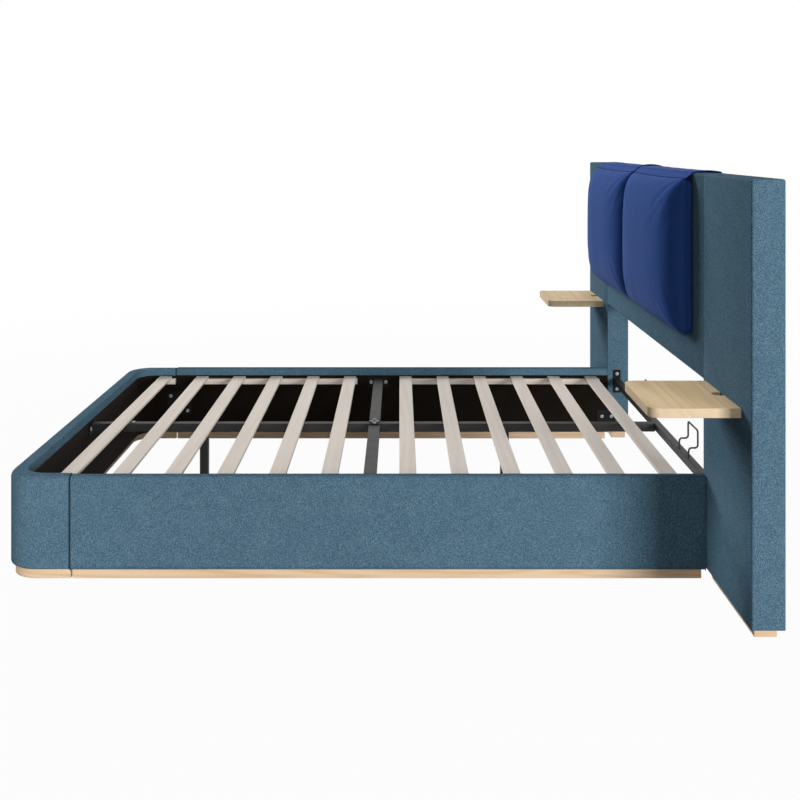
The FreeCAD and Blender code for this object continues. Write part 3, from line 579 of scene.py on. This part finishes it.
def welt_points(low, high, out):
    """Points round a cushion's drawn-in outline at its welt, standing out by so much."""
    middle = (low + high) / 2
    half_width = (high.x - low.x) / 2 + out
    half_height = (high.z - low.z) / 2 + out
    points = []
    # Each way is a side's outward direction, and the side runs towards the next way
    ways = [(0, 1), (-1, 0), (0, -1), (1, 0)]
    for (across, up), after in zip(ways, ways[1:] + ways[:1]):
        reach = (half_width if after[0] else half_height) - WELT_CORNER
        face = half_width if across else half_height
        for step in np.linspace(-1, 1, 40, endpoint=False):
            stand = face - WELT_DRAW * (1 - step * step)
            points.append((across * stand + after[0] * step * reach,
                           up * stand + after[1] * step * reach))
        for turn in np.linspace(0, math.pi / 2, 8, endpoint=False):
            stand = face - WELT_CORNER + WELT_CORNER * math.cos(turn)
            along = reach + WELT_CORNER * math.sin(turn)
            points.append((across * stand + after[0] * along, up * stand + after[1] * along))
    return [Vector((middle.x + x, HEAD_FRONT - CUSHION_EDGE, middle.z + z)) for x, z in points]


def closed_welt(name, points):
    """A closed round welt through the points, as a mesh piece."""
    line = bpy.data.curves.new(name, "CURVE")
    line.dimensions = "3D"
    line.bevel_depth = WELT_RADIUS
    line.bevel_resolution = 3
    spline = line.splines.new("POLY")
    spline.points.add(len(points) - 1)
    for spot, point in zip(spline.points, points):
        spot.co = (*point, 1)
    spline.use_cyclic_u = True
    line.materials.append(PIPING)
    curve = linked(name, line)
    mesh = shown_mesh(curve)
    bpy.data.objects.remove(curve)
    mesh.polygons.foreach_set("use_smooth", [True] * len(mesh.polygons))
    return linked(name, mesh)


def flap_route(pad_top, hem):
    """A flap's way as (y, z): from the cushion's top welt over the headboard down to its hem."""
    front = HEAD_FRONT - FLAP_CLEARANCE
    rear = HEAD_BACK + FLAP_CLEARANCE
    crest = HEAD_TOP + FLAP_CLEARANCE
    bend = FLAP_BEND
    welt = HEAD_FRONT - CUSHION_EDGE + 0.0005
    slope = math.atan2(crest - bend - pad_top, front - welt)
    route = [(welt + (front - 0.001 - welt) * share,
              pad_top - FLAP_TUCK + (crest - FLAP_TUCK - pad_top) * share)
             for share in np.linspace(0, 1, 12)]
    for turn in np.linspace(slope, math.pi / 2, 7)[1:]:
        route.append((front + bend - bend * math.cos(turn - slope),
                      crest - bend + bend * math.sin(turn)))
    route += [(y, crest) for y in np.linspace(front + bend, rear - bend, 20)[1:]]
    for turn in np.linspace(0, math.pi / 2, 7)[1:]:
        route.append((rear - bend + bend * math.sin(turn), crest - bend + bend * math.cos(turn)))
    route += [(rear, z) for z in np.linspace(crest - bend, hem, 30)[1:]]
    return route, (front, rear, crest)


def flap_over(node, cushion, arch_right, arch_left):
    """The hung flap: a sheet along its route, lifting at its ends, and its flat size."""
    low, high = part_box(node)
    route, (front, rear, crest) = flap_route(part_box(cushion)[1].z, low.z)
    bend = FLAP_BEND
    stations = np.linspace(low.x, high.x, FLAP_STATIONS)
    points = []
    for x in stations:
        from_right = (high.x - x) / ARCH_RUN
        from_left = (x - low.x) / ARCH_RUN
        lift = (0.0012 + arch_right * math.exp(-from_right ** 2)
                + arch_left * math.exp(-from_left ** 2))
        for y, z in route:
            over = min(max((y - front) / (rear - front), 0), 1)
            hump = math.sin(math.pi * over) ** 0.8 * (z > crest - 2 * bend)
            ripple = noise.noise(Vector((x * 14, y * 9, z * 9))) * FLAP_RIPPLE
            # Behind the headboard it hangs in slack waves, fuller towards its hem
            hang = max(0, (crest - bend - z) / (crest - low.z)) * (y > rear - 0.0001)
            wave = FLAP_WAVE * hang * (1 + noise.noise(Vector((x * 8, 3.0, z * 2))))
            points.append((x, y + wave + ripple * (1 if y > front + bend else 0.4),
                           z + lift * hump + ripple * 0.5))
    rows = len(route)
    faces = [(a * rows + b, a * rows + b + 1, (a + 1) * rows + b + 1, (a + 1) * rows + b)
             for a in range(len(stations) - 1) for b in range(rows - 1)]
    sheet = piece_from(f"{node}_sheet", points, faces, PIPING)
    thick = sheet.modifiers.new("thickness", "SOLIDIFY")
    thick.thickness = FLAP_THICKNESS
    thick.offset = 0
    bake(sheet)
    run = sum(math.dist(a, b) for a, b in zip(route, route[1:]))
    return sheet, (high.x - low.x, run)


middles = {side: sum(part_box(f"{side}_cushion"), Vector()).x / 2 for side in ("right", "left")}
pads = {"right": cushion_from("right_cushion")}
pads["left"] = mirrored(pads["right"], "left_cushion_pad", middles["right"], middles["left"])
for side, pad in pads.items():
    body = f"{side}_cushion"
    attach(pad, body)
    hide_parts(body)
    welt = closed_welt(f"{side}_cushion_welt", welt_points(*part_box(body), out=0.0008))
    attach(welt, body)
    sheet, flat = flap_over(f"{side}_cushion_flap", body, *FLAP_ARCHES[side])
    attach(sheet, body)
    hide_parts(f"{side}_cushion_flap")


# Floor, light and camera

def floor_finish():
    """Pale floor: white to the camera, with the object's shadow kept faintly."""
    finish = Finish("pale_floor")
    matt = finish.add("ShaderNodeBsdfDiffuse", sockets={"Color": (0.2, 0.2, 0.2, 1)})
    white = finish.add("ShaderNodeEmission", sockets={"Color": (1, 1, 1, 1), "Strength": 1.0})
    away = finish.add("ShaderNodeVectorMath", {"operation": "LENGTH"}, {0: finish.spot()},
                      out="Value")
    fade = ((away - SHADOW_FIELD) * 0.3).at_least(0.0).at_most(1.0)
    share = finish.looked_at() * (FLOOR_WHITE + fade * (1 - FLOOR_WHITE))
    mixed = finish.add("ShaderNodeMixShader", sockets={0: share, 1: matt, 2: white})
    finish.add("ShaderNodeOutputMaterial", sockets={"Surface": mixed})
    return finish.made


def studio_world():
    """White to the camera and in reflections, soft grey as a source of light."""
    finish = Finish("studio", "worlds")
    soft = finish.add("ShaderNodeBackground",
                      sockets={"Color": (0.95, 0.98, 1.0, 1), "Strength": SKY})
    white = finish.add("ShaderNodeBackground", sockets={"Color": (1, 1, 1, 1), "Strength": 1.0})
    mixed = finish.add("ShaderNodeMixShader", sockets={0: finish.looked_at(), 1: soft, 2: white})
    finish.add("ShaderNodeOutputWorld", sockets={"Surface": mixed})
    return finish.made


def softbox(name, place, aim, size, power, glossy=True, spread=180):
    """A rectangular lamp at a place, turned towards a point."""
    light = bpy.data.lights.new(name, "AREA")
    light.shape = "RECTANGLE"
    light.size, light.size_y = size
    light.energy = power
    light.spread = math.radians(spread)
    lamp = linked(name, light)
    lamp.location = place
    lamp.visible_camera = False
    lamp.visible_glossy = glossy
    lamp.rotation_euler = (Vector(aim) - Vector(place)).to_track_quat("-Z", "Y").to_euler()


floor = piece_from("studio_floor",
                   [(-FLOOR_SIZE, -FLOOR_SIZE, 0), (FLOOR_SIZE, -FLOOR_SIZE, 0),
                    (FLOOR_SIZE, FLOOR_SIZE, 0), (-FLOOR_SIZE, FLOOR_SIZE, 0)],
                   [(0, 1, 2, 3)], floor_finish())
scene.world = studio_world()

# The main lamp stands behind the headboard's plane, so it lights the rail and not the wings' fronts
softbox("camera_side_box", (12.0, 6.9, 2.2), (0.4, 0.4, 0.5), (4.5, 4.5), 2060)
softbox("far_side_box", (-12.5, -5.5, 5.0), (0.0, 0.9, 0.8), (5.0, 5.0), 3100, glossy=False)
softbox("overhead_box", (0.0, 1.3, 7.5), (0.0, 0.3, 0.0), (4.0, 0.6), 95, glossy=False)
softbox("rail_fill_box", (11.0, 0.0, 2.5), (0.0, 0.4, 0.5), (3.0, 3.0), 235)
# Two weak narrow fills, for the foot's near corner and the near wing's lower front
softbox("corner_fill_box", (1.8, -2.4, 0.6), (0.75, -1.05, 0.17), (0.6, 0.6), 1.4,
        glossy=False, spread=50)
softbox("wing_fill_box", (1.35, -1.9, 0.25), (0.98, 1.0, 0.10), (0.3, 0.3), 0.26,
        glossy=False, spread=10)

eye = bpy.data.cameras.new("camera")
eye.lens = 50
eye.sensor_width = 36
# The camera looks level, and the shift brings the horizon to its row in the photograph
eye.shift_y = (HORIZON_ROW - PHOTO_SIDE / 2) / PHOTO_SIDE
eye.clip_start = 0.05
eye.clip_end = 200
camera = linked("camera", eye)
camera.location = (EYE_ASIDE, HEAD_FRONT - EYE_BEFORE_HEADBOARD, EYE_HEIGHT)
camera.rotation_euler = (math.radians(90), 0, math.radians(90))
scene.camera = camera
scene.view_settings.view_transform = "Standard"
